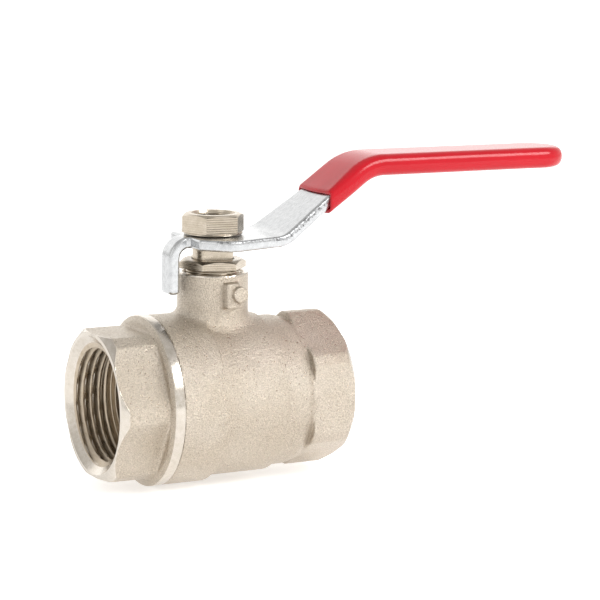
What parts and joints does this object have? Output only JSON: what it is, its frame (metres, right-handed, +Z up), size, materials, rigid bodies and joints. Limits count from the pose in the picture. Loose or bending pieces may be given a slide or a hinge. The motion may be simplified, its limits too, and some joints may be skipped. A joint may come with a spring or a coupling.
{
  "type": "ball valve",
  "caption": "Two-piece threaded full-bore ball valve with hexagonal ends, bent flat lever in a dipped sleeve, gland nut and blow-out-proof stem.",
  "frame": {"origin": "centre of the ball, where the port axis meets the stem axis", "axes": "+X along the port axis from the end cap to the body's own hexagon, +Z up the stem, the lever points to +X when the valve is open"},
  "size_m": [0.1452, 0.046, 0.0875],
  "materials": {
    "nickel_forging": "sandblasted brass forging, nickel plated, fine matte grain",
    "nickel_turned": "turned and milled brass, nickel plated, satin with fine tool lines",
    "lever_steel": "stamped steel strip, bright zinc plated",
    "red_vinyl": "glossy dip-moulded vinyl sleeve",
    "ball_chrome": "polished hard chrome on brass",
    "ptfe": "white PTFE, slightly waxy",
    "seal_rubber": "black fluoroelastomer, satin"
  },
  "bodies": {
    "housing": {"valve_body": "nickel_forging", "end_cap": "nickel_forging", "body_seal_ring": "seal_rubber", "seat_ring_cap_side": "ptfe", "seat_ring_body_side": "ptfe", "stem_thrust_washer": "ptfe", "packing_ring_lower": "ptfe", "packing_ring_upper": "ptfe", "gland_nut": "nickel_turned"},
    "lever_and_stem": {"lever": "lever_steel", "lever_grip": "red_vinyl", "lever_nut": "nickel_turned", "stem": "nickel_turned", "stem_o_ring_lower": "seal_rubber", "stem_o_ring_upper": "seal_rubber"},
    "ball": {"ball": "ball_chrome"}
  },
  "joints": [
    {"name": "lever_turn", "type": "hinge", "parent": "housing", "child": "lever_and_stem", "pos_m": [0, 0, 0], "axis": [0, 0, 1], "range_deg": [-90, 0]},
    {"name": "ball_turn", "type": "hinge", "parent": "housing", "child": "ball", "pos_m": [0, 0, 0], "axis": [0, 0, 1], "range_deg": [-90, 0]}
  ],
  "couplings": [
    {"joint": "ball_turn", "follows": "lever_turn", "ratio": 1}
  ]
}
